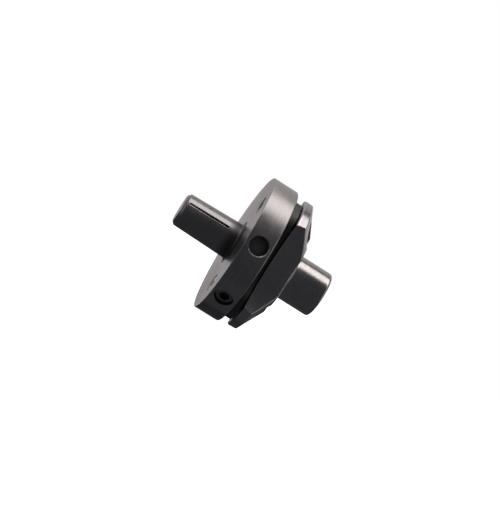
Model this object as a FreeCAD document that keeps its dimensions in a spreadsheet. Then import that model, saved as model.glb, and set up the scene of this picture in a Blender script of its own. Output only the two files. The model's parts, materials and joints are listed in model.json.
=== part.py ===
import FreeCAD, Part

# Floating jaw coupling with a taper shank on the drive side and a plain round stub on the driven side.
#
# The coupling's axis is X: the taper shank points to -X and the stub to +X.  +Z is up.  The origin is on the
# axis, half-way along the whole length.  All sizes are millimetres and degrees.
#
# Directions round the axis are given as an angle from -Y, turning up towards +Z, so that the front scallop of
# the three-lobed flange is at 0 degrees and its lobes are at 60, 180 and 300 degrees.
#
# How it works: the drive half's two jaws slide in one pair of slots of the floating centre plate, and the
# driven half's two jaws slide in the other pair, square to the first.  Three tie bolts with room round them
# hold the halves together, a ball between two hardened pads carries end thrust, and the driven half can tilt
# a little about the ball.

import math
import os

import Sketcher
from FreeCAD import Placement, Rotation, Vector

PARTS_FOLDER = "parts"
SHEET = "Dims"

# name: (value, what it is)
DRIVING = {
    "hub_diameter": (62.0, "drive disc"),
    "hub_thickness": (11.35, "drive disc"),
    "taper_gauge_diameter": (15.733, "large end of the short taper"),
    "taper_length": (24.0, "short taper, small end to gauge plane"),
    "taper_ratio": (20.02, "taper length per unit of diameter"),
    "relief_length": (2.2, "plain neck from gauge plane to disc"),
    "shank_chamfer": (1.2, "small end of the taper"),
    "shank_fillet": (1.2, "taper neck to disc"),
    "groove_width": (1.0, "lengthwise groove in the taper"),
    "groove_depth": (0.7, "lengthwise groove in the taper"),
    "groove_start": (1.9, "groove's outer end from the taper's small end"),
    "groove_length": (18.8, "lengthwise groove in the taper"),
    "groove_angle": (32.0, "direction of the groove"),
    "face_gap": (3.4, "drive disc to flange"),
    "rim_width": (4.0, "cylindrical rim of the flange"),
    "cone_length": (6.35, "conical back of the flange, along the axis"),
    "cone_small_radius": (18.4, "conical back where it ends"),
    "stub_diameter": (20.0, "driven stub"),
    "stub_length": (16.9, "driven stub"),
    "stub_end_round": (1.4, "end of the stub"),
    "stub_root_fillet": (2.2, "stub to flange"),
    "edge_break": (0.3, "small edge breaks"),
    "rim_round": (0.9, "drive disc's outer edge at the gap"),
    "rim_chamfer": (0.6, "flange rim's edge at the gap"),
    "flange_diameter": (60.4, "flange rim"),
    "scallop_floor_radius": (18.2, "floor of a scallop at the flange's face"),
    "scallop_radius": (42.0, "scallop's hollow, seen along its floor"),
    "scallop_tilt": (14.5, "scallop floor runs in towards the stub"),
    "scallop_lead": (6.0, "scallop cut ahead of the flange's face, along its floor"),
    "scallop_reach": (22.0, "whole length of the scallop cut"),
    "bolt_circle_radius": (21.3, "tie bolts"),
    "lobe_angle": (60.0, "first lobe and tie bolt"),
    "drive_recess_radius": (16.5, "recess in the drive disc"),
    "drive_recess_depth": (2.6, "recess in the drive disc"),
    "driven_recess_radius": (15.0, "recess in the flange"),
    "driven_recess_depth": (2.4, "recess in the flange"),
    "plate_drive_gap": (0.2, "drive disc to centre plate"),
    "plate_driven_gap": (0.45, "centre plate to flange"),
    "plate_radius": (29.0, "centre plate over its lobes"),
    "plate_waist_radius": (17.3, "centre plate between its lobes"),
    "plate_scallop_radius": (40.0, "centre plate's hollow sides"),
    "plate_lobe_round": (8.0, "corners of the centre plate's lobes"),
    "core_end_gap": (0.32, "centre plate's core to each recess floor"),
    "core_drive_radius": (15.6, "core in the drive recess"),
    "core_driven_radius": (14.1, "core in the driven recess"),
    "jaw_angle": (318.0, "direction of the first drive jaw"),
    "jaw_inner_radius": (7.2, "jaw's inner face from the axis"),
    "jaw_radial_size": (6.0, "jaw along its slot"),
    "jaw_width": (7.9, "jaw across its slot"),
    "jaw_side_clearance": (0.05, "each side of a jaw in its slot"),
    "jaw_root_depth": (5.4, "drive jaw let into the disc"),
    "driven_root_depth": (4.5, "driven jaw let into the flange"),
    "jaw_end_gap": (0.5, "jaw's free end to the other half's recess floor"),
    "jaw_chamfer": (0.4, "jaw's free end"),
    "float_travel": (0.4, "slide each way from the middle"),
    "float_spare": (0.3, "room left at the end of a slide"),
    "jaw_pin_radius": (2.0, "dowel through each drive jaw"),
    "plug_radius": (4.0, "screw that closes the dowel hole"),
    "plug_length": (4.0, "screw that closes the dowel hole"),
    "plug_sink": (1.6, "screw's outer face below the rim"),
    "plug_hole_depth": (6.2, "wide part of the dowel hole"),
    "rim_countersink": (0.5, "mouths of the holes in the rim"),
    "spanner_hole_radius": (4.0, "blind hole in the rim"),
    "spanner_hole_depth": (5.4, "blind hole in the rim"),
    "spanner_angle": (8.5, "direction of the first spanner hole"),
    "bolt_radius": (2.0, "tie bolt"),
    "bolt_head_radius": (3.5, "tie bolt"),
    "bolt_head_height": (4.0, "tie bolt"),
    "bolt_head_sink": (0.2, "tie bolt's head below the disc's back"),
    "bolt_hole_radius": (2.25, "tie bolt's hole in the disc"),
    "bolt_head_bore_radius": (3.7, "tie bolt head's counterbore"),
    "float_hole_radius": (2.7, "room round the bolt in plate and flange"),
    "nut_bore_radius": (5.2, "counterbore in each lobe"),
    "nut_bore_floor": (3.4, "counterbore floor from the flange's face"),
    "washer_gap": (0.4, "counterbore floor to washer"),
    "washer_radius": (4.0, "tie washer"),
    "washer_hole_radius": (2.1, "tie washer"),
    "washer_thickness": (0.6, "tie washer"),
    "nut_radius": (3.6, "round tie nut"),
    "nut_height": (2.2, "round tie nut"),
    "nut_slot_width": (1.2, "driver slot of the nut"),
    "nut_slot_depth": (0.8, "driver slot of the nut"),
    "thread_clearance": (0.02, "female thread outside male thread"),
    "ball_radius": (3.969, "thrust ball"),
    "ball_offset": (0.95, "flange face to ball centre, towards the drive side"),
    "ball_gap": (0.05, "ball to each pad"),
    "pad_radius": (3.8, "drive thrust pad"),
    "pad_depth": (2.2, "drive thrust pad's seat"),
    "cup_radius": (5.0, "driven thrust pad"),
    "cup_depth": (3.0, "driven thrust pad's seat"),
    "jaw_screw_radius": (1.5, "screw of a driven jaw"),
    "jaw_screw_length": (11.5, "screw of a driven jaw, under its head"),
    "jaw_screw_head_radius": (2.75, "screw of a driven jaw"),
    "jaw_screw_head_height": (3.0, "screw of a driven jaw"),
    "socket_tie_bolt": (3.0, "hexagon across flats"),
    "socket_plug": (4.0, "hexagon across flats"),
    "socket_jaw_screw": (2.5, "hexagon across flats"),
    "socket_depth": (2.0, "hexagon sockets"),
    "fit_allowance": (0.15, "head in its counterbore, dowel in its hole"),
}


class Size:
    """A number together with the spreadsheet formula that gives it."""

    def __init__(self, value, formula):
        self.value = value
        self.formula = formula

    def _join(self, other, sign, value, swapped=False):
        other_text = other.formula if isinstance(other, Size) else str(other)
        first, second = (other_text, self.formula) if swapped else (self.formula, other_text)
        return Size(value, f"({first} {sign} {second})")

    def __add__(self, other):
        return self._join(other, "+", self.value + number(other))

    def __radd__(self, other):
        return self._join(other, "+", number(other) + self.value, swapped=True)

    def __sub__(self, other):
        return self._join(other, "-", self.value - number(other))

    def __rsub__(self, other):
        return self._join(other, "-", number(other) - self.value, swapped=True)

    def __mul__(self, other):
        return self._join(other, "*", self.value * number(other))

    def __rmul__(self, other):
        return self._join(other, "*", number(other) * self.value, swapped=True)

    def __truediv__(self, other):
        return self._join(other, "/", self.value / number(other))

    def __neg__(self):
        return self * -1


def number(size):
    return size.value if isinstance(size, Size) else size


def cosine(angle):
    return Size(math.cos(math.radians(angle.value)), f"cos({angle.formula})")


def sine(angle):
    return Size(math.sin(math.radians(angle.value)), f"sin({angle.formula})")


doc = FreeCAD.newDocument("jaw_coupling")
sheet = doc.addObject("Spreadsheet::Sheet", SHEET)
dim = {}
for row, (name, (value, meaning)) in enumerate(DRIVING.items(), start=1):
    sheet.set(f"A{row}", name)
    sheet.set(f"B{row}", str(value))
    sheet.set(f"C{row}", meaning)
    sheet.setAlias(f"B{row}", name)
    dim[name] = Size(value, f"{SHEET}.{name}")
doc.recompute()

# Stations along the axis, from the taper's small end to the stub's end.
taper_total = dim["taper_length"] + dim["relief_length"]
flange_total = dim["rim_width"] + dim["cone_length"]
HALF_LENGTH = (taper_total + dim["hub_thickness"] + dim["face_gap"] + flange_total + dim["stub_length"]) / 2
TAPER_END = -HALF_LENGTH
HUB_BACK = TAPER_END + taper_total
HUB_FACE = HUB_BACK + dim["hub_thickness"]
HUB_MIDDLE = HUB_BACK + dim["hub_thickness"] / 2
FLANGE_FACE = HUB_FACE + dim["face_gap"]
RIM_BACK = FLANGE_FACE + dim["rim_width"]
CONE_BACK = RIM_BACK + dim["cone_length"]
STUB_END = HALF_LENGTH
DRIVE_FLOOR = HUB_FACE - dim["drive_recess_depth"]
DRIVEN_FLOOR = FLANGE_FACE + dim["driven_recess_depth"]
BALL_CENTRE = FLANGE_FACE - dim["ball_offset"]
NUT_FLOOR = FLANGE_FACE + dim["nut_bore_floor"]

HUB_RADIUS = dim["hub_diameter"] / 2
FLANGE_RADIUS = dim["flange_diameter"] / 2
STUB_RADIUS = dim["stub_diameter"] / 2
GAUGE_RADIUS = dim["taper_gauge_diameter"] / 2
JAW_OUTER_RADIUS = dim["jaw_inner_radius"] + dim["jaw_radial_size"]
JAW_MIDDLE_RADIUS = dim["jaw_inner_radius"] + dim["jaw_radial_size"] / 2

BOLT_ANGLES = [dim["lobe_angle"] + 120 * i for i in range(3)]
SCALLOP_ANGLES = [dim["lobe_angle"] + 120 * i + 60 for i in range(3)]
DRIVE_JAW_ANGLES = [dim["jaw_angle"] + 180 * i for i in range(2)]
DRIVEN_JAW_ANGLES = [dim["jaw_angle"] + 180 * i + 90 for i in range(2)]
SPANNER_ANGLES = [dim["spanner_angle"] + 180 * i for i in range(2)]

ZERO = Size(0.0, "0")
OVERSHOOT = 0.6


# Sketches and features -------------------------------------------------------------------------------

def taper_radius(station):
    """Radius of the short taper at a station along the axis."""
    gauge_plane = HUB_BACK - dim["relief_length"]
    return GAUGE_RADIUS - (gauge_plane - station) / dim["taper_ratio"] / 2


def new_body(label):
    body = doc.addObject("PartDesign::Body", label)
    body.Label = label
    return body


def place(body, x, radius, angle):
    """Move a body that was made on the axis out to a radius at an angle; its +Z becomes the outward way."""
    turn = Rotation(Vector(1, 0, 0), 90 - angle.value)
    body.Placement = Placement(Vector(0, 0, 0), turn)
    body.setExpression(".Placement.Base.x", x.formula)
    body.setExpression(".Placement.Base.y", (-radius * cosine(angle)).formula)
    body.setExpression(".Placement.Base.z", (radius * sine(angle)).formula)


def new_sketch(body, name, plane, offset=None):
    sketch = body.newObject("Sketcher::SketchObject", name)
    support = [feature for feature in body.Origin.OriginFeatures if feature.Role == plane][0]
    sketch.AttachmentSupport = [(support, "")]
    sketch.MapMode = "FlatFace"
    if offset is not None:
        sketch.AttachmentOffset = offset
    return sketch


def pin_point(sketch, edge, point, x, y):
    """Fix one end of an edge at x, y with named formulas."""
    for kind, axis, size in (("DistanceX", -2, x), ("DistanceY", -1, y)):
        if size.formula == "0":
            sketch.addConstraint(Sketcher.Constraint("PointOnObject", edge, point, axis))
            continue
        index = sketch.addConstraint(Sketcher.Constraint(kind, -1, 1, edge, point, size.value))
        sketch.setExpression(f"Constraints[{index}]", size.formula)


def draw_outline(sketch, points):
    """Closed outline of straight edges through points whose coordinates are sizes."""
    first = sketch.GeometryCount
    vectors = [Vector(x.value, y.value, 0) for x, y in points]
    for start, end in zip(vectors, vectors[1:] + vectors[:1]):
        sketch.addGeometry(Part.LineSegment(start, end), False)
    for i in range(len(points)):
        following = first + (i + 1) % len(points)
        sketch.addConstraint(Sketcher.Constraint("Coincident", first + i, 2, following, 1))
    for i, (x, y) in enumerate(points):
        pin_point(sketch, first + i, 1, x, y)


def draw_circle(sketch, x, y, radius):
    centre = Vector(x.value, y.value, 0)
    edge = sketch.addGeometry(Part.Circle(centre, Vector(0, 0, 1), radius.value), False)
    pin_point(sketch, edge, 3, x, y)
    index = sketch.addConstraint(Sketcher.Constraint("Radius", edge, radius.value))
    sketch.setExpression(f"Constraints[{index}]", radius.formula)


def rectangle(left, right, low, high):
    return [(left, low), (right, low), (right, high), (left, high)]


def hexagon(across_flats):
    corner = across_flats / (2 * math.cos(math.pi / 6))
    turns = [math.radians(60 * i) for i in range(6)]
    corners = [(round(math.cos(turn), 9), round(math.sin(turn), 9)) for turn in turns]
    return [(corner * c if c else ZERO, corner * s if s else ZERO) for c, s in corners]


def checked(body, feature, adds):
    """Recompute, and make sure that a feature really added or removed material."""
    before = body.Tip.BaseFeature.Shape.Volume if body.Tip.BaseFeature else 0.0
    doc.recompute()
    after = feature.Shape.Volume
    if (after > before) != adds or abs(after - before) < 1e-6:
        raise RuntimeError(f"{body.Label}: {feature.Name} went the wrong way, {before:.3f} to {after:.3f}")
    return feature


def revolve(body, name, points):
    """Solid of revolution about the X axis from an outline of (station, radius)."""
    sketch = new_sketch(body, name + "_profile", "XZ_Plane")
    draw_outline(sketch, points)
    feature = body.newObject("PartDesign::Revolution", name)
    feature.Profile = sketch
    feature.ReferenceAxis = (sketch, ["H_Axis"])
    feature.Angle = 360
    return checked(body, feature, adds=True)


def groove(body, name, points, axis, offset):
    """Turned cut about one axis of a sketch plane that was moved by offset."""
    sketch = new_sketch(body, name + "_profile", "XZ_Plane", offset)
    draw_outline(sketch, points)
    feature = body.newObject("PartDesign::Groove", name)
    feature.Profile = sketch
    feature.ReferenceAxis = (sketch, [axis])
    feature.Angle = 360
    return checked(body, feature, adds=False)


def radial_hole(body, name, station, angle, points):
    """Turned cut about a radial line; points are (distance from that line, radius from the axis)."""
    turn = Rotation(Vector(1, 0, 0), 90 - angle.value)
    return groove(body, name, points, "V_Axis", Placement(Vector(station.value, 0, 0), turn))


def axial_hole(body, name, radius, angle, points):
    """Turned cut about a line parallel to the axis; points are (station, distance from that line)."""
    turn = Rotation(Vector(1, 0, 0), 90 - angle.value)
    base = turn.multVec(Vector(0, radius.value, 0))
    return groove(body, name, points, "H_Axis", Placement(base, turn))


def extrude(body, kind, name, draw, start, length, turn=0.0, backwards=False):
    """Pad or pocket of a sketch across the axis, from a station, for a length; turn is about the axis."""
    offset = Placement(Vector(0, 0, start.value), Rotation(Vector(0, 0, 1), turn))
    sketch = new_sketch(body, name + "_profile", "YZ_Plane", offset)
    sketch.setExpression(".AttachmentOffset.Base.z", start.formula)
    draw(sketch)
    feature = body.newObject("PartDesign::" + kind, name)
    feature.Profile = sketch
    feature.Type = 0
    feature.setExpression("Length", length.formula)
    feature.Reversed = backwards
    return checked(body, feature, adds=kind == "Pad")


def pad(body, name, draw, start, end, turn=0.0):
    return extrude(body, "Pad", name, draw, start, end - start, turn)


def pocket(body, name, draw, start, end, turn=0.0):
    """Cut from start up to end; a pocket runs against its sketch's normal unless it is reversed."""
    return extrude(body, "Pocket", name, draw, start, end - start, turn, backwards=True)


def dress_edges(body, kind, name, size, wanted):
    """Fillet or chamfer those edges of the body's last feature that the test picks."""
    last = body.Tip
    edges = [f"Edge{i}" for i, edge in enumerate(last.Shape.Edges, start=1) if wanted(edge)]
    if not edges:
        raise RuntimeError(f"{body.Label}: no edge found for {name}")
    feature = body.newObject("PartDesign::" + kind, name)
    feature.Base = (last, edges)
    feature.setExpression("Radius" if kind == "Fillet" else "Size", size.formula)
    doc.recompute()
    return feature


def ring_at(station, radius):
    """Test for a whole circular edge about the X axis."""
    def wanted(edge):
        curve = edge.Curve
        if not isinstance(curve, Part.Circle):
            return False
        centred = math.hypot(curve.Center.y, curve.Center.z) < 1e-4
        return (centred and abs(curve.Center.x - station.value) < 1e-4
                and abs(curve.Radius - radius.value) < 1e-4)
    return wanted


def lengthwise(minimum_radius):
    """Test for a straight edge along X that lies outside a radius."""
    def wanted(edge):
        if not isinstance(edge.Curve, Part.Line):
            return False
        start, end = edge.Vertexes[0].Point, edge.Vertexes[-1].Point
        along = abs(start.y - end.y) < 1e-6 and abs(start.z - end.z) < 1e-6
        return along and math.hypot(start.y, start.z) > minimum_radius
    return wanted


def end_edges(station):
    """Test for edges that lie wholly in the plane across the axis at a station."""
    def wanted(edge):
        return all(abs(vertex.Point.x - station.value) < 1e-6 for vertex in edge.Vertexes)
    return wanted


def socket(body, name, across_flats, start, depth):
    """Hexagon socket that opens at a station and runs along +X."""
    pocket(body, name, lambda sketch: draw_outline(sketch, hexagon(across_flats)), start, start + depth)


# Shapes that several pieces share --------------------------------------------------------------------

def jaw_window(clearance, inner, outer):
    """Outline of a jaw's root or slot, in a sketch turned so that its vertical axis points along the jaw."""
    half_width = dim["jaw_width"] / 2 + clearance
    return rectangle(-half_width, half_width, inner, outer)


def jaw_turn(angle):
    """Turn of a cross-axis sketch that brings its vertical axis to the given direction."""
    return 90 - angle.value


def washer_like(body, name, start, end, outer, hole):
    revolve(body, name, [(start, hole), (end, hole), (end, outer), (start, outer)])


def cap_screw(body, head_radius, head_height, shank_radius, shank_length, across_flats, point):
    """Socket cap screw on the X axis, its head's outer face at 0 and its shank towards +X."""
    tip = head_height + shank_length
    soft = dim["edge_break"]
    revolve(body, "screw", [
        (ZERO, ZERO), (ZERO, head_radius - soft), (soft, head_radius), (head_height, head_radius),
        (head_height, shank_radius), (tip - point, shank_radius), (tip, shank_radius - point), (tip, ZERO)])
    socket(body, "socket", across_flats, ZERO, dim["socket_depth"])


# Drive half ------------------------------------------------------------------------------------------

def make_drive_hub():
    """Taper shank and disc, turned in one piece."""
    body = new_body("drive_hub")
    chamfer_top = TAPER_END + dim["shank_chamfer"]
    gauge_plane = HUB_BACK - dim["relief_length"]
    pad_seat = DRIVE_FLOOR - dim["pad_depth"]
    revolve(body, "blank", [
        (TAPER_END, ZERO), (TAPER_END, taper_radius(TAPER_END) - dim["shank_chamfer"]),
        (chamfer_top, taper_radius(chamfer_top)), (gauge_plane, GAUGE_RADIUS), (HUB_BACK, GAUGE_RADIUS),
        (HUB_BACK, HUB_RADIUS), (HUB_FACE, HUB_RADIUS), (HUB_FACE, dim["drive_recess_radius"]),
        (DRIVE_FLOOR, dim["drive_recess_radius"]), (DRIVE_FLOOR, dim["pad_radius"]),
        (pad_seat, dim["pad_radius"]), (pad_seat, ZERO)])
    dress_edges(body, "Fillet", "shank_root", dim["shank_fillet"], ring_at(HUB_BACK, GAUGE_RADIUS))
    dress_edges(body, "Fillet", "rim_edge", dim["rim_round"], ring_at(HUB_FACE, HUB_RADIUS))
    dress_edges(body, "Fillet", "back_edge", dim["edge_break"], ring_at(HUB_BACK, HUB_RADIUS))
    for i, angle in enumerate(BOLT_ANGLES, start=1):
        cut_bolt_hole(body, f"bolt_hole_{i}", angle)
    for i, angle in enumerate(DRIVE_JAW_ANGLES, start=1):
        cut_jaw_root(body, f"jaw_root_{i}", angle, DRIVE_FLOOR - dim["jaw_root_depth"], DRIVE_FLOOR)
        cut_dowel_hole(body, f"dowel_hole_{i}", angle)
    for i, angle in enumerate(SPANNER_ANGLES, start=1):
        cut_spanner_hole(body, f"spanner_hole_{i}", angle)
    cut_shank_groove(body)


def cut_bolt_hole(body, name, angle):
    seat = HUB_BACK + dim["bolt_head_sink"] + dim["bolt_head_height"]
    past_back = HUB_BACK - OVERSHOOT
    past_face = HUB_FACE + OVERSHOOT
    mouth = HUB_BACK + dim["edge_break"]
    head = dim["bolt_head_bore_radius"]
    axial_hole(body, name, dim["bolt_circle_radius"], angle, [
        (past_back, ZERO), (past_face, ZERO), (past_face, dim["bolt_hole_radius"]),
        (seat, dim["bolt_hole_radius"]), (seat, head), (mouth, head),
        (past_back, head + dim["edge_break"] + OVERSHOOT)])


def cut_jaw_root(body, name, angle, start, end):
    window = jaw_window(ZERO, dim["jaw_inner_radius"], JAW_OUTER_RADIUS)
    pocket(body, name, lambda sketch: draw_outline(sketch, window), start, end, jaw_turn(angle))


def countersunk(hole_radius, depth, deeper):
    """Outline of a hole in the rim with a countersunk mouth; deeper is what lies under its floor."""
    outside = HUB_RADIUS + OVERSHOOT
    sink = dim["rim_countersink"]
    return deeper + [
        (hole_radius, HUB_RADIUS - depth), (hole_radius, HUB_RADIUS - sink),
        (hole_radius + sink + OVERSHOOT, outside), (ZERO, outside)]


def cut_spanner_hole(body, name, angle):
    radius = dim["spanner_hole_radius"]
    depth = dim["spanner_hole_depth"]
    radial_hole(body, name, HUB_MIDDLE, angle, countersunk(radius, depth, [(ZERO, HUB_RADIUS - depth)]))


def cut_dowel_hole(body, name, angle):
    """Stepped hole from the rim through the jaw's root: wide for the plug screw, narrow for the dowel."""
    narrow = dim["jaw_pin_radius"] + dim["thread_clearance"]
    bottom = dim["jaw_inner_radius"]
    step = HUB_RADIUS - dim["plug_hole_depth"]
    below = [(ZERO, bottom), (narrow, bottom), (narrow, step)]
    radial_hole(body, name, HUB_MIDDLE, angle, countersunk(dim["plug_radius"], dim["plug_hole_depth"], below))


def cut_shank_groove(body):
    """Narrow round-ended groove along the taper."""
    start = TAPER_END + dim["groove_start"]
    end = start + dim["groove_length"]
    middle = (start + end) / 2
    half_width = dim["groove_width"] / 2
    floor = taper_radius(middle) - dim["groove_depth"]
    turn = Rotation(Vector(1, 0, 0), -dim["groove_angle"].value)
    base = turn.multVec(Vector(0, 0, floor.value))
    sketch = new_sketch(body, "shank_groove_profile", "XZ_Plane", Placement(base, turn))
    draw_slot(sketch, start + half_width, end - half_width, half_width)
    feature = body.newObject("PartDesign::Pocket", "shank_groove")
    feature.Profile = sketch
    feature.Type = 0
    feature.setExpression("Length", GAUGE_RADIUS.formula)
    feature.Reversed = True
    checked(body, feature, adds=False)


def draw_slot(sketch, left, right, half_width):
    """Round-ended slot along the sketch's horizontal axis, between the centres of its two ends."""
    for before, after, y in ((left, right, -half_width), (right, left, half_width)):
        ends = [Vector(x.value, y.value, 0) for x in (before, after)]
        edge = sketch.addGeometry(Part.LineSegment(*ends), False)
        pin_point(sketch, edge, 1, before, y)
        pin_point(sketch, edge, 2, after, y)
    quarter = math.pi / 2
    for centre, first_turn, before, after in ((right, -quarter, 0, 1), (left, quarter, 1, 0)):
        circle = Part.Circle(Vector(centre.value, 0, 0), Vector(0, 0, 1), half_width.value)
        edge = sketch.addGeometry(Part.ArcOfCircle(circle, first_turn, first_turn + 2 * quarter), False)
        sketch.addConstraint(Sketcher.Constraint("Tangent", before, 2, edge, 1))
        sketch.addConstraint(Sketcher.Constraint("Coincident", edge, 2, after, 1))


def make_drive_jaw(number_, angle):
    """Hardened block let into the drive disc, drilled across for its dowel."""
    body = new_body(f"drive_jaw_{number_}")
    root = DRIVE_FLOOR - dim["jaw_root_depth"]
    tip = DRIVEN_FLOOR - dim["jaw_end_gap"]
    half_width = dim["jaw_width"] / 2
    block = rectangle(-half_width, half_width, dim["jaw_inner_radius"], JAW_OUTER_RADIUS)
    pad(body, "block", lambda sketch: draw_outline(sketch, block), root, tip)
    dress_edges(body, "Chamfer", "tip_chamfer", dim["jaw_chamfer"], end_edges(tip))
    hole = dim["jaw_pin_radius"] + dim["thread_clearance"]
    past_in, past_out = dim["jaw_inner_radius"] - OVERSHOOT, JAW_OUTER_RADIUS + OVERSHOOT
    outline = [(ZERO, past_in), (hole, past_in), (hole, past_out), (ZERO, past_out)]
    groove(body, "dowel_hole", outline, "V_Axis", Placement(Vector(HUB_MIDDLE.value, 0, 0), Rotation()))
    place(body, ZERO, ZERO, angle)


def make_jaw_pin(number_, angle):
    """Dowel along the jaw's direction, from inside the jaw to just under the plug screw."""
    body = new_body(f"jaw_pin_{number_}")
    top = HUB_RADIUS - dim["plug_hole_depth"]
    bottom = dim["jaw_inner_radius"] + dim["edge_break"]
    soft = dim["edge_break"]
    radius = dim["jaw_pin_radius"]
    sketch_points = [(ZERO, bottom), (radius - soft, bottom), (radius, bottom + soft),
                     (radius, top - soft), (radius - soft, top), (ZERO, top)]
    turned_upright(body, "dowel", sketch_points)
    place(body, HUB_MIDDLE, ZERO, angle)


def turned_upright(body, name, points):
    """Solid of revolution about the body's own Z axis from an outline of (radius, height)."""
    sketch = new_sketch(body, name + "_profile", "XZ_Plane")
    draw_outline(sketch, points)
    feature = body.newObject("PartDesign::Revolution", name)
    feature.Profile = sketch
    feature.ReferenceAxis = (sketch, ["V_Axis"])
    feature.Angle = 360
    return checked(body, feature, adds=True)


def make_plug_screw(number_, angle):
    """Socket set screw that closes the dowel hole, a little below the rim."""
    body = new_body(f"plug_screw_{number_}")
    top = HUB_RADIUS - dim["plug_sink"]
    bottom = top - dim["plug_length"]
    radius = dim["plug_radius"] - dim["thread_clearance"]
    soft = dim["edge_break"]
    turned_upright(body, "screw", [
        (ZERO, bottom), (radius - soft, bottom), (radius, bottom + soft), (radius, top - soft),
        (radius - soft, top), (ZERO, top)])
    offset = Placement(Vector(0, 0, top.value), Rotation())
    sketch = new_sketch(body, "socket_profile", "XY_Plane", offset)
    sketch.setExpression(".AttachmentOffset.Base.z", top.formula)
    draw_outline(sketch, hexagon(dim["socket_plug"]))
    feature = body.newObject("PartDesign::Pocket", "socket")
    feature.Profile = sketch
    feature.Type = 0
    feature.setExpression("Length", dim["socket_depth"].formula)
    checked(body, feature, adds=False)
    place(body, HUB_MIDDLE, ZERO, angle)


def make_tie_bolt(number_, angle):
    """Socket screw from the disc's back, through the centre plate and a lobe, to its nut."""
    body = new_body(f"tie_bolt_{number_}")
    head_face = HUB_BACK + dim["bolt_head_sink"]
    under_head = head_face + dim["bolt_head_height"]
    tip = NUT_FLOOR + dim["washer_gap"] + dim["washer_thickness"] + dim["nut_height"]
    cap_screw(body, dim["bolt_head_radius"], dim["bolt_head_height"], dim["bolt_radius"],
              tip + dim["edge_break"] - under_head, dim["socket_tie_bolt"], dim["edge_break"])
    place(body, head_face, dim["bolt_circle_radius"], angle)


def make_tie_washer(number_, angle):
    body = new_body(f"tie_washer_{number_}")
    washer_like(body, "washer", ZERO, dim["washer_thickness"], dim["washer_radius"],
                dim["washer_hole_radius"])
    place(body, NUT_FLOOR + dim["washer_gap"], dim["bolt_circle_radius"], angle)


def make_tie_nut(number_, angle):
    """Round nut with a driver slot across its outer face."""
    body = new_body(f"tie_nut_{number_}")
    height = dim["nut_height"]
    washer_like(body, "nut", ZERO, height, dim["nut_radius"], dim["bolt_radius"] + dim["thread_clearance"])
    half_width = dim["nut_slot_width"] / 2
    reach = dim["nut_radius"] + OVERSHOOT
    slot = rectangle(-reach, reach, -half_width, half_width)
    pocket(body, "slot", lambda sketch: draw_outline(sketch, slot), height - dim["nut_slot_depth"], height)
    seat = NUT_FLOOR + dim["washer_gap"] + dim["washer_thickness"]
    place(body, seat, dim["bolt_circle_radius"], angle)


def make_drive_thrust_pad():
    """Hardened flat pad that the thrust ball runs on."""
    body = new_body("drive_thrust_pad")
    seat = DRIVE_FLOOR - dim["pad_depth"]
    top = BALL_CENTRE - dim["ball_radius"] - dim["ball_gap"]
    soft = dim["edge_break"]
    radius = dim["pad_radius"]
    revolve(body, "pad", [(seat, ZERO), (seat, radius), (top - soft, radius), (top, radius - soft),
                          (top, ZERO)])


# Floating middle -------------------------------------------------------------------------------------

def make_centre_plate():
    """Three-lobed plate with a round core on each side and four slots for the jaws."""
    body = new_body("centre_plate")
    left = HUB_FACE + dim["plate_drive_gap"]
    right = FLANGE_FACE - dim["plate_driven_gap"]
    core_left = DRIVE_FLOOR + dim["core_end_gap"]
    core_right = DRIVEN_FLOOR - dim["core_end_gap"]
    pad(body, "plate", lambda sketch: draw_circle(sketch, ZERO, ZERO, dim["plate_radius"]), left, right)
    side_centre = dim["plate_waist_radius"] + dim["plate_scallop_radius"]
    for i, angle in enumerate(SCALLOP_ANGLES, start=1):
        pocket(body, f"side_{i}",
               lambda sketch: draw_circle(sketch, ZERO, side_centre, dim["plate_scallop_radius"]),
               left, right, jaw_turn(angle))
    dress_edges(body, "Fillet", "lobe_corners", dim["plate_lobe_round"],
                lengthwise(dim["bolt_circle_radius"].value))
    pad(body, "drive_core", lambda sketch: draw_circle(sketch, ZERO, ZERO, dim["core_drive_radius"]),
        core_left, left)
    pad(body, "driven_core", lambda sketch: draw_circle(sketch, ZERO, ZERO, dim["core_driven_radius"]),
        right, core_right)
    for i, angle in enumerate(BOLT_ANGLES, start=1):
        pocket(body, f"bolt_hole_{i}",
               lambda sketch: draw_circle(sketch, ZERO, dim["bolt_circle_radius"], dim["float_hole_radius"]),
               left, right, jaw_turn(angle))
    room = dim["float_travel"] + dim["float_spare"]
    slot = jaw_window(dim["jaw_side_clearance"], dim["jaw_inner_radius"] - room, JAW_OUTER_RADIUS + room)
    for i, angle in enumerate(DRIVE_JAW_ANGLES + DRIVEN_JAW_ANGLES, start=1):
        pocket(body, f"slot_{i}", lambda sketch: draw_outline(sketch, slot), core_left, core_right,
               jaw_turn(angle))
    bore = dim["ball_radius"] + room
    pocket(body, "ball_bore", lambda sketch: draw_circle(sketch, ZERO, ZERO, bore), core_left, core_right)


def make_thrust_ball():
    ball = doc.addObject("Part::Sphere", "thrust_ball")
    ball.Label = "thrust_ball"
    ball.setExpression("Radius", dim["ball_radius"].formula)
    ball.setExpression(".Placement.Base.x", BALL_CENTRE.formula)
    doc.recompute()


# Driven half -----------------------------------------------------------------------------------------

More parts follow.
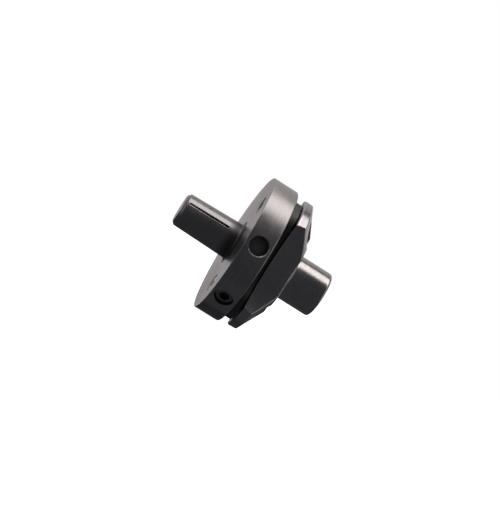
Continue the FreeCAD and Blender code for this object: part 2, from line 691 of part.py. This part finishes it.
def make_driven_hub():
    """Flange and stub in one piece: turned, then scalloped into three lobes."""
    body = new_body("driven_hub")
    cup_seat = DRIVEN_FLOOR + dim["cup_depth"]
    revolve(body, "blank", [
        (cup_seat, ZERO), (cup_seat, dim["cup_radius"]), (DRIVEN_FLOOR, dim["cup_radius"]),
        (DRIVEN_FLOOR, dim["driven_recess_radius"]), (FLANGE_FACE, dim["driven_recess_radius"]),
        (FLANGE_FACE, FLANGE_RADIUS), (RIM_BACK, FLANGE_RADIUS), (CONE_BACK, dim["cone_small_radius"]),
        (CONE_BACK, STUB_RADIUS), (STUB_END, STUB_RADIUS), (STUB_END, ZERO)])
    dress_edges(body, "Fillet", "stub_end_edge", dim["stub_end_round"], ring_at(STUB_END, STUB_RADIUS))
    dress_edges(body, "Fillet", "stub_root", dim["stub_root_fillet"], ring_at(CONE_BACK, STUB_RADIUS))
    dress_edges(body, "Chamfer", "rim_front_edge", dim["rim_chamfer"], ring_at(FLANGE_FACE, FLANGE_RADIUS))
    dress_edges(body, "Fillet", "rim_back_edge", dim["edge_break"], ring_at(RIM_BACK, FLANGE_RADIUS))
    for i, angle in enumerate(SCALLOP_ANGLES, start=1):
        cut_scallop(body, f"scallop_{i}", angle)
    for i, angle in enumerate(BOLT_ANGLES, start=1):
        cut_nut_bore(body, f"nut_bore_{i}", angle)
    jaw_floor = DRIVEN_FLOOR + dim["driven_root_depth"]
    for i, angle in enumerate(DRIVEN_JAW_ANGLES, start=1):
        cut_jaw_root(body, f"jaw_root_{i}", angle, DRIVEN_FLOOR, jaw_floor)
        cut_screw_hole(body, f"jaw_screw_hole_{i}", angle)


def cut_scallop(body, name, angle):
    """Round hollow whose floor leans in towards the stub."""
    tilt = dim["scallop_tilt"].value
    round_axis = Rotation(Vector(0, 0, 1), jaw_turn(angle))
    turn = round_axis.multiply(Rotation(Vector(1, 0, 0), tilt))
    on_floor = round_axis.multVec(Vector(0, dim["scallop_floor_radius"].value, 0))
    ahead = turn.multVec(Vector(0, 0, -dim["scallop_lead"].value))
    start = on_floor + Vector(0, 0, FLANGE_FACE.value) + ahead
    sketch = new_sketch(body, name + "_profile", "YZ_Plane", Placement(start, turn))
    draw_circle(sketch, ZERO, dim["scallop_radius"], dim["scallop_radius"])
    feature = body.newObject("PartDesign::Pocket", name)
    feature.Profile = sketch
    feature.Type = 0
    feature.Reversed = True
    feature.setExpression("Length", dim["scallop_reach"].formula)
    checked(body, feature, adds=False)


def cut_nut_bore(body, name, angle):
    past_face = FLANGE_FACE - OVERSHOOT
    past_back = CONE_BACK + OVERSHOOT
    wide, narrow = dim["nut_bore_radius"], dim["float_hole_radius"]
    axial_hole(body, name, dim["bolt_circle_radius"], angle, [
        (past_face, ZERO), (past_back, ZERO), (past_back, wide), (NUT_FLOOR, wide), (NUT_FLOOR, narrow),
        (past_face, narrow)])


def jaw_screw_head_face():
    """Station of a jaw screw's head: flush with the driven jaw's free end, less an edge break."""
    return DRIVE_FLOOR + dim["jaw_end_gap"] + dim["edge_break"]


def cut_screw_hole(body, name, angle):
    floor = DRIVEN_FLOOR + dim["driven_root_depth"]
    hole = dim["jaw_screw_radius"] + dim["thread_clearance"]
    tip = jaw_screw_head_face() + dim["jaw_screw_head_height"] + dim["jaw_screw_length"]
    bottom = tip + dim["edge_break"]
    axial_hole(body, name, JAW_MIDDLE_RADIUS, angle, [
        (floor - OVERSHOOT, ZERO), (bottom, ZERO), (bottom, hole), (floor - OVERSHOOT, hole)])


def make_driven_jaw(number_, angle):
    """Hardened block let into the flange, counterbored for its screw."""
    body = new_body(f"driven_jaw_{number_}")
    tip = DRIVE_FLOOR + dim["jaw_end_gap"]
    root = DRIVEN_FLOOR + dim["driven_root_depth"]
    half_width = dim["jaw_width"] / 2
    block = rectangle(-half_width, half_width, dim["jaw_inner_radius"], JAW_OUTER_RADIUS)
    pad(body, "block", lambda sketch: draw_outline(sketch, block), tip, root)
    dress_edges(body, "Chamfer", "tip_chamfer", dim["jaw_chamfer"], end_edges(tip))
    head_seat = jaw_screw_head_face() + dim["jaw_screw_head_height"]
    shank = dim["jaw_screw_radius"] + dim["fit_allowance"]
    head = dim["jaw_screw_head_radius"] + dim["fit_allowance"]
    outline = [(tip - OVERSHOOT, ZERO), (root + OVERSHOOT, ZERO), (root + OVERSHOOT, shank),
               (head_seat, shank), (head_seat, head), (tip - OVERSHOOT, head)]
    centre = Placement(Vector(0, 0, 0), Rotation())
    centre.Base = Vector(0, JAW_MIDDLE_RADIUS.value, 0)
    groove(body, "screw_hole", outline, "H_Axis", centre)
    place(body, ZERO, ZERO, angle)


def make_driven_jaw_screw(number_, angle):
    body = new_body(f"driven_jaw_screw_{number_}")
    cap_screw(body, dim["jaw_screw_head_radius"], dim["jaw_screw_head_height"], dim["jaw_screw_radius"],
              dim["jaw_screw_length"], dim["socket_jaw_screw"], dim["edge_break"])
    place(body, jaw_screw_head_face(), JAW_MIDDLE_RADIUS, angle)


def make_driven_thrust_pad():
    """Hardened pad with a shallow ball cup, flush with the recess floor."""
    seat = DRIVEN_FLOOR + dim["cup_depth"]
    blank = doc.addObject("Part::Cylinder", "cup_blank")
    blank.Placement = Placement(Vector(0, 0, 0), Rotation(Vector(0, 1, 0), 90))
    blank.setExpression("Radius", dim["cup_radius"].formula)
    blank.setExpression("Height", (seat - DRIVEN_FLOOR).formula)
    blank.setExpression(".Placement.Base.x", DRIVEN_FLOOR.formula)
    hollow = doc.addObject("Part::Sphere", "cup_hollow")
    hollow.setExpression("Radius", (dim["ball_radius"] + dim["ball_gap"]).formula)
    hollow.setExpression(".Placement.Base.x", BALL_CENTRE.formula)
    cup = doc.addObject("Part::Cut", "driven_thrust_pad")
    cup.Label = "driven_thrust_pad"
    cup.Base = blank
    cup.Tool = hollow
    doc.recompute()


# Assembly --------------------------------------------------------------------------------------------

def build_model():
    make_drive_hub()
    for i, angle in enumerate(DRIVE_JAW_ANGLES, start=1):
        make_drive_jaw(i, angle)
        make_jaw_pin(i, angle)
        make_plug_screw(i, angle)
    for i, angle in enumerate(BOLT_ANGLES, start=1):
        make_tie_bolt(i, angle)
        make_tie_washer(i, angle)
        make_tie_nut(i, angle)
    make_drive_thrust_pad()
    make_centre_plate()
    make_thrust_ball()
    make_driven_hub()
    for i, angle in enumerate(DRIVEN_JAW_ANGLES, start=1):
        make_driven_jaw(i, angle)
        make_driven_jaw_screw(i, angle)
    make_driven_thrust_pad()
    doc.recompute()


def is_piece(item):
    return item.TypeId == "PartDesign::Body" or item.Name in ("thrust_ball", "driven_thrust_pad")


def check_document():
    for item in doc.Objects:
        if "Invalid" in item.State or "Error" in item.State:
            raise RuntimeError(f"{item.Label} failed: {item.State}")
    for piece in filter(is_piece, doc.Objects):
        shape = piece.Shape
        if shape.isNull() or not shape.isValid() or len(shape.Solids) != 1:
            raise RuntimeError(f"{piece.Label} is not one valid solid")


def write_parts():
    os.makedirs(PARTS_FOLDER, exist_ok=True)
    for piece in filter(is_piece, doc.Objects):
        piece.Shape.exportStep(os.path.join(PARTS_FOLDER, piece.Label + ".step"))
        print(f"{piece.Label}: {piece.Shape.Volume:.1f} mm3")


build_model()
check_document()
write_parts()
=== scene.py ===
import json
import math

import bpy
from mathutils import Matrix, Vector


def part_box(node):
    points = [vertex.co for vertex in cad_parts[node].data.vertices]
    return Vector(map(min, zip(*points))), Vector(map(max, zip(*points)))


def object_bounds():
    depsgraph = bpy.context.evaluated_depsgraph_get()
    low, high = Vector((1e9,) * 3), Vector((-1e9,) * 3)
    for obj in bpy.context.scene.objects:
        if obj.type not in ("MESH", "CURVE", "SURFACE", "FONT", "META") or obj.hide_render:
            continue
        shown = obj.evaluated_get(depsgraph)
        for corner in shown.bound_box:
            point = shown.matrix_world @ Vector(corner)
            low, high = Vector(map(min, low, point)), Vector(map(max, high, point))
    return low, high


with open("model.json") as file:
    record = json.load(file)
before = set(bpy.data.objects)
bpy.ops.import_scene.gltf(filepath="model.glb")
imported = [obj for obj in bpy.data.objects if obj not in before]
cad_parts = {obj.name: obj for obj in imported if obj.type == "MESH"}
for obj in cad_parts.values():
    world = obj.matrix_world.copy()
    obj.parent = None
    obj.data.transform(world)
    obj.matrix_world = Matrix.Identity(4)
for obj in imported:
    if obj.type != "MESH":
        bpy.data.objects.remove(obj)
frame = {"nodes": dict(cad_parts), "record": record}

# Floating jaw coupling: taper shank and disc on the drive side, lobed flange and stub on the driven side.
#
# The coupling's axis is X, with the shank towards -X and +Z up.  The CAD nodes stay as they are.  This script
# gives every node a material, and adds the floor, the studio lights and the camera.  Lengths are metres, and
# angles are degrees.

cad_low, cad_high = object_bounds()

MM = 0.001

# Steel.  The shank's matt finish ends and the disc's coarser one begins over these distances from the axis,
# and the shank grows duller towards its neck over these stations, darkened there by painted shade next to the
# disc.
SHANK_EDGE = (10.5 * MM, 9.5 * MM)
DISC_START = (10 * MM, 12 * MM)
NECK_STATIONS = (-14 * MM, -10.8 * MM)
# Metres that the turning marks' pattern moves for each radian round the axis.
ANGLE_DRIFT = 0.0012
# Painted shade: a corner or a hole is darkened by what lies within this distance.
SHELTER_DISTANCE = 9 * MM
# Colour of the dirt specks in the grain, and of the painted shade in corners, holes and at the shank's neck.
GRIME_AND_PAINTED_SHADE = (0.085, 0.083, 0.084, 1)
# Sockets of a colour Mix node.
MIX_FACTOR, FIRST_COLOUR, SECOND_COLOUR, MIXED_COLOUR = 0, 6, 7, 2

# Floor.
FLOOR_HALF_SIZE = 1.5
FLOOR_GAP = 0.5 * MM
FLOOR_TONE = (0.9, 0.9, 0.9, 1)

# Light.
WHITE = (1, 1, 1, 1)
DIM_ROOM = (0.068, 0.068, 0.0745, 1)
LAMP_TINT = (1.0, 0.95, 0.95)

# Where the camera stands: how far the axis falls in the picture, how much of the disc's back shows, how far
# the coupling is turned about its own axis, and where the disc's back lies from the middle of the picture.
AXIS_FALL = 32.1
BACK_SHOWN = 7.37
AXIAL_TURN = -2.0
DISTANCE = 615 * MM
DISC_RIGHT = -6.44 * MM
DISC_DOWN = -9.2 * MM
BOLT_HEAD_SINK = 0.2 * MM
LENS = 102.08
NEAREST, FARTHEST = 0.01, 10.0


# Materials -------------------------------------------------------------------------------------------

# What a look says:
#   dark, light       colours between which the blackening varies
#   bare              colour of the steel where it is rubbed
#   roughness         least and greatest
#   mark_*, grain_*   scale and height of the turning marks and of the fine grain
#   mark_tint         how far the marks lighten the colour
#   blotch_scale      scale of the blotches in the blackening
#   edge, rub         how far an edge is rounded, and how bright it is rubbed
#   brushing          how far highlights are drawn out round the axis
#   coarser_disc      roughness added beyond the shank
#   dull_shank        how matt and dark the shank is; the entry after it says the same for its neck, where the darkening is painted shade
ALL_OVER = {"coarser_disc": 0.0, "dull_shank": 0.0, "dull_shaded_neck": 0.0}
BLACKENED = ALL_OVER | {
    "dark": (0.295, 0.288, 0.294, 1), "light": (0.385, 0.368, 0.356, 1), "bare": (0.60, 0.59, 0.575, 1),
    "roughness": (0.22, 0.29), "mark_scale": 2600.0, "blotch_scale": 70.0, "grain_scale": 1600.0,
    "mark_height": 0.0014, "grain_height": 0.0005, "mark_tint": 0.16, "edge": 0.22 * MM, "rub": 0.6,
    "brushing": 0.35}
LOOKS = {
    "blackened_disc": BLACKENED | {
        "coarser_disc": 0.08, "mark_height": 0.0018, "grain_height": 0.0010, "dull_shank": 0.26,
        "dull_shaded_neck": 0.95},
    "blackened_flange": BLACKENED | {
        "bare": (0.75, 0.74, 0.72, 1), "roughness": (0.19, 0.23), "edge": 0.8 * MM, "rub": 0.75},
    # The plug screws' own black, darkened further as painted shade in their holes.
    "black_plug_painted_shade": BLACKENED | {
        "dark": (0.16, 0.16, 0.162, 1), "light": (0.20, 0.20, 0.201, 1), "edge": 0.1 * MM, "rub": 0.3},
    # Near-black bolt head: painted shade of a deep counterbore.
    "black_bolt_painted_shade": BLACKENED | {
        "dark": (0.035, 0.035, 0.036, 1), "light": (0.055, 0.055, 0.056, 1),
        "bare": (0.40, 0.395, 0.385, 1), "roughness": (0.34, 0.42), "edge": 0.12 * MM, "rub": 0.35},
    "oxide_plate": BLACKENED | {
        "dark": (0.055, 0.055, 0.057, 1), "light": (0.09, 0.09, 0.091, 1), "bare": (0.26, 0.255, 0.25, 1),
        "roughness": (0.45, 0.55), "rub": 0.4},
    "black_fastener": ALL_OVER | {
        "dark": (0.20, 0.20, 0.20, 1), "light": (0.27, 0.27, 0.27, 1), "bare": (0.55, 0.54, 0.52, 1),
        "roughness": (0.26, 0.34), "mark_scale": 5200.0, "blotch_scale": 220.0, "grain_scale": 3600.0,
        "mark_height": 0.0016, "grain_height": 0.0008, "mark_tint": 0.12, "edge": 0.12 * MM, "rub": 0.8,
        "brushing": 0.2},
    "plain_fastener": ALL_OVER | {
        "dark": (0.42, 0.415, 0.40, 1), "light": (0.52, 0.51, 0.50, 1), "bare": (0.70, 0.69, 0.67, 1),
        "roughness": (0.26, 0.36), "mark_scale": 5200.0, "blotch_scale": 260.0, "grain_scale": 3600.0,
        "mark_height": 0.0022, "grain_height": 0.0008, "mark_tint": 0.3, "edge": 0.12 * MM, "rub": 0.6,
        "brushing": 0.3},
    "hardened_steel": ALL_OVER | {
        "dark": (0.50, 0.495, 0.48, 1), "light": (0.58, 0.575, 0.56, 1), "bare": (0.74, 0.73, 0.71, 1),
        "roughness": (0.16, 0.24), "mark_scale": 7000.0, "blotch_scale": 150.0, "grain_scale": 4200.0,
        "mark_height": 0.0009, "grain_height": 0.0004, "mark_tint": 0.2, "edge": 0.15 * MM, "rub": 0.5,
        "brushing": 0.25}}
# Nodes with a look of their own.  Each of the others takes the look that has its material slot's name.
OWN_LOOK = {
    "drive_hub": "blackened_disc", "driven_hub": "blackened_flange", "centre_plate": "oxide_plate",
    "plug_screw_1": "black_plug_painted_shade", "plug_screw_2": "black_plug_painted_shade", "tie_bolt_1": "black_bolt_painted_shade",
    # tie_bolt_3 is the same bolt as tie_bolt_1 and tie_bolt_2: its pale look is a painted reflection of the
    # bright backdrop, and their near-black look is painted shade in the counterbores.
    "tie_bolt_2": "black_bolt_painted_shade", "tie_bolt_3": "plain_fastener"}


class Nodes:
    """Short ways to add shader nodes to one material and to join them."""

    def __init__(self, material):
        material.use_nodes = True
        self.tree = material.node_tree
        self.shader = self.tree.nodes["Principled BSDF"]

    def add(self, kind, inputs=(), **settings):
        node = self.tree.nodes.new("ShaderNode" + kind)
        for name, value in settings.items():
            setattr(node, name, value)
        for name, value in dict(inputs).items():
            self.feed(node.inputs[name], value)
        return node

    def feed(self, socket, value):
        if isinstance(value, bpy.types.NodeSocket):
            self.tree.links.new(value, socket)
        else:
            socket.default_value = value

    def math(self, operation, first, second=0.0):
        return self.add("Math", {0: first, 1: second}, operation=operation).outputs[0]

    def total(self, *values):
        result = values[0]
        for value in values[1:]:
            result = self.math("ADD", result, value)
        return result

    def product(self, *values):
        result = values[0]
        for value in values[1:]:
            result = self.math("MULTIPLY", result, value)
        return result

    def noise(self, vector, scale, detail, roughness):
        inputs = {"Vector": vector, "Scale": scale, "Detail": detail, "Roughness": roughness}
        return self.add("TexNoise", inputs).outputs["Fac"]

    def span(self, value, source, target=(0.0, 1.0)):
        """Value carried from one range to another, and held at the other's ends."""
        inputs = {"Value": value, "From Min": source[0], "From Max": source[1],
                  "To Min": target[0], "To Max": target[1]}
        return self.add("MapRange", inputs).outputs["Result"]

    def mix(self, factor, first, second):
        inputs = {MIX_FACTOR: factor, FIRST_COLOUR: first, SECOND_COLOUR: second}
        return self.add("Mix", inputs, data_type="RGBA").outputs[MIXED_COLOUR]


def turned_coordinates(nodes):
    """Place, the same for the lathe (station, radius and a little of the angle), station and radius."""
    place = nodes.add("TexCoord").outputs["Object"]
    station, y, z = nodes.add("SeparateXYZ", {"Vector": place}).outputs
    radius = nodes.math("SQRT", nodes.total(nodes.product(y, y), nodes.product(z, z)))
    angle = nodes.product(nodes.math("ARCTAN2", z, y), ANGLE_DRIFT)
    lathe = nodes.add("CombineXYZ", {"X": station, "Y": radius, "Z": angle}).outputs["Vector"]
    return place, lathe, station, radius


def rounded_edges(nodes, look):
    """Normal that goes round every edge, and how much of an edge each point is."""
    rounded = nodes.add("Bevel", {"Radius": look["edge"]}, samples=8).outputs["Normal"]
    true_normal = nodes.add("NewGeometry").outputs["Normal"]
    facing = nodes.add("VectorMath", {0: rounded, 1: true_normal}, operation="DOT_PRODUCT").outputs["Value"]
    return rounded, nodes.span(facing, (0.999, 0.965))


def dull_shank_and_neck_shade(nodes, look, station, radius):
    """How matt and dark the shank is, growing towards its neck, where the darkening is painted shade next to
    the disc; nothing beyond the shank's radius.
    """
    return nodes.product(nodes.span(radius, SHANK_EDGE),
                         nodes.span(station, NECK_STATIONS, (look["dull_shank"], look["dull_shaded_neck"])))


def steel(name, look):
    """Machined steel: tool marks, blotches in the blackening, rounded edges that are rubbed bright, and
    painted shade in corners, in holes and at the shank's neck.
    """
    material = bpy.data.materials.new(name)
    nodes = Nodes(material)
    place, lathe, station, radius = turned_coordinates(nodes)
    marks = nodes.noise(lathe, look["mark_scale"], detail=3.0, roughness=0.6)
    fine_marks = nodes.noise(lathe, look["mark_scale"] * 3.1, detail=2.0, roughness=0.5)
    blotches = nodes.noise(place, look["blotch_scale"], detail=4.0, roughness=0.62)
    grain = nodes.noise(place, look["grain_scale"], detail=3.0, roughness=0.6)

    # Painted shade: ambient occlusion finds corners and holes, which are darkened below and kept from being
    # rubbed bright.
    unoccluded = nodes.add("AmbientOcclusion", {"Distance": SHELTER_DISTANCE}, samples=16).outputs["AO"]
    sheltered = nodes.span(unoccluded, (0.60, 0.33), (0.0, 0.75))
    # A matt, darker shank, with painted shade growing towards its neck by the disc.
    dull_and_neck_shade = dull_shank_and_neck_shade(nodes, look, station, radius)
    rounded, edge = rounded_edges(nodes, look)
    rub = nodes.product(edge, nodes.span(grain, (0.38, 0.62), (0.15, 1.0)), look["rub"],
                        nodes.span(sheltered, (0.3, 0.0)))

    body = nodes.mix(nodes.span(blotches, (0.32, 0.68)), look["dark"], look["light"])
    body = nodes.mix(nodes.span(marks, (0.35, 0.70), (0.0, look["mark_tint"])), body, look["bare"])
    body = nodes.mix(nodes.span(grain, (0.60, 0.35), (0.0, 0.2)), body, GRIME_AND_PAINTED_SHADE)
    # Painted shade in corners, holes and at the shank's neck, with the shank's own darker tone.
    body = nodes.mix(nodes.math("MAXIMUM", sheltered, dull_and_neck_shade), body, GRIME_AND_PAINTED_SHADE)
    nodes.feed(nodes.shader.inputs["Base Color"], nodes.mix(rub, body, look["bare"]))

    roughness = nodes.total(
        nodes.span(blotches, (0.3, 0.7), look["roughness"]), nodes.span(grain, (0.3, 0.7), (-0.035, 0.035)),
        nodes.product(rub, -0.06), nodes.span(radius, DISC_START, (0.0, look["coarser_disc"])),
        nodes.product(dull_and_neck_shade, 0.2))
    nodes.feed(nodes.shader.inputs["Roughness"], roughness)

    height = nodes.total(
        nodes.product(marks, look["mark_height"]), nodes.product(fine_marks, look["mark_height"] * 0.5),
        nodes.product(grain, look["grain_height"]))
    bump = nodes.add("Bump", {"Strength": 1.0, "Distance": MM, "Height": height, "Normal": rounded})
    nodes.feed(nodes.shader.inputs["Normal"], bump.outputs["Normal"])

    nodes.shader.inputs["Metallic"].default_value = 1.0
    nodes.shader.inputs["Anisotropic"].default_value = look["brushing"]
    tangent = nodes.add("Tangent", direction_type="RADIAL", axis="X").outputs["Tangent"]
    nodes.feed(nodes.shader.inputs["Tangent"], tangent)
    return material


def dress_nodes():
    materials = {name: steel(name, look) for name, look in LOOKS.items()}
    slots = {part["node"]: part["material_slot"] for part in frame["record"]["subparts"]}
    for name, node in frame["nodes"].items():
        for place in node.material_slots:
            place.link = "OBJECT"
            place.material = materials[OWN_LOOK.get(name, slots[name])]


# Floor, light and camera -------------------------------------------------------------------------------

def make_floor():
    """Plain pale floor just under the disc's rim, lit from itself and left out of the steel's reflections."""
    level = cad_low.z - FLOOR_GAP
    half = FLOOR_HALF_SIZE
    mesh = bpy.data.meshes.new("floor")
    corners = [(x, y, level) for x, y in ((-half, -half), (half, -half), (half, half), (-half, half))]
    mesh.from_pydata(corners, [], [(0, 1, 2, 3)])
    floor = bpy.data.objects.new("floor", mesh)
    bpy.context.scene.collection.objects.link(floor)
    pale = bpy.data.materials.new("pale_floor")
    nodes = Nodes(pale)
    nodes.shader.inputs["Base Color"].default_value = FLOOR_TONE
    nodes.shader.inputs["Roughness"].default_value = 0.9
    nodes.shader.inputs["Emission Color"].default_value = WHITE
    nodes.shader.inputs["Emission Strength"].default_value = 1.0
    mesh.materials.append(pale)
    floor.visible_glossy = False
    floor.visible_diffuse = False


def around(angle, distance, station=0.0):
    """Point at a distance from the axis, in a direction from -Y turning up towards +Z."""
    turn = math.radians(angle)
    return Vector((station, -math.cos(turn) * distance, math.sin(turn) * distance))


def softbox(name, where, size, power):
    """Soft lamp that faces the coupling and that the camera doesn't see."""
    light = bpy.data.lights.new(name, "AREA")
    light.shape = "RECTANGLE"
    light.size, light.size_y = size
    light.energy = power
    light.color = LAMP_TINT
    lamp = bpy.data.objects.new(name, light)
    bpy.context.scene.collection.objects.link(lamp)
    back = where.normalized()
    side = (Vector((1, 0, 0)) - back * back.x).normalized()
    turn = Matrix((side, back.cross(side), back)).transposed().to_4x4()
    lamp.matrix_world = Matrix.Translation(where) @ turn
    lamp.visible_camera = False


def make_lights():
    """Long softbox above, broad card behind, and a weak card off each end."""
    softbox("key_softbox", around(86, 0.42), size=(0.9, 0.27), power=1.95)
    softbox("back_card", around(155, 0.60, -0.1), size=(1.4, 0.90), power=2.15)
    softbox("driven_end_card", around(60, 0.12, 0.60), size=(0.5, 0.5), power=0.30)
    softbox("drive_end_card", around(60, 0.12, -0.60), size=(0.5, 0.5), power=0.20)


def make_world():
    """White surroundings as the camera sees them, and a dim room as the metal does."""
    world = bpy.data.worlds.new("studio")
    bpy.context.scene.world = world
    world.use_nodes = True
    tree = world.node_tree
    path = tree.nodes.new("ShaderNodeLightPath")
    mix = tree.nodes.new("ShaderNodeMix")
    mix.data_type = "RGBA"
    mix.inputs[FIRST_COLOUR].default_value = DIM_ROOM
    mix.inputs[SECOND_COLOUR].default_value = WHITE
    tree.links.new(path.outputs["Is Camera Ray"], mix.inputs[MIX_FACTOR])
    tree.links.new(mix.outputs[MIXED_COLOUR], tree.nodes["Background"].inputs["Color"])


def make_camera():
    """Camera placed from how the coupling's axis and the disc's back lie in the picture."""
    fall, shown, turn = (math.radians(angle) for angle in (AXIS_FALL, BACK_SHOWN, AXIAL_TURN))
    # Directions in the picture: x right, y down, z away from the camera.
    axis = Vector((math.cos(fall) * math.cos(shown), math.sin(fall) * math.cos(shown), math.sin(shown)))
    above = Vector((math.sin(fall), -math.cos(fall), 0))
    nearer = axis.cross(above)
    if nearer.z > 0:
        nearer.negate()
    front = math.cos(turn) * nearer + math.sin(turn) * above
    top = -math.sin(turn) * nearer + math.cos(turn) * above
    to_picture = Matrix((axis, -front, top)).transposed()
    to_part = to_picture.transposed()
    disc_back = Vector((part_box("tie_bolt_1")[0].x - BOLT_HEAD_SINK, 0, 0))
    eye = disc_back - to_part @ Vector((DISC_RIGHT, DISC_DOWN, DISTANCE))
    right, down, away = (to_part @ Vector(v) for v in ((1, 0, 0), (0, 1, 0), (0, 0, 1)))
    data = bpy.data.cameras.new("camera")
    data.lens = LENS
    data.clip_start, data.clip_end = NEAREST, FARTHEST
    camera = bpy.data.objects.new("camera", data)
    camera.matrix_world = Matrix.Translation(eye) @ Matrix((right, -down, -away)).transposed().to_4x4()
    bpy.context.scene.collection.objects.link(camera)
    bpy.context.scene.camera = camera


dress_nodes()
make_floor()
make_lights()
make_world()
make_camera()
bpy.context.scene.view_settings.view_transform = "Standard"
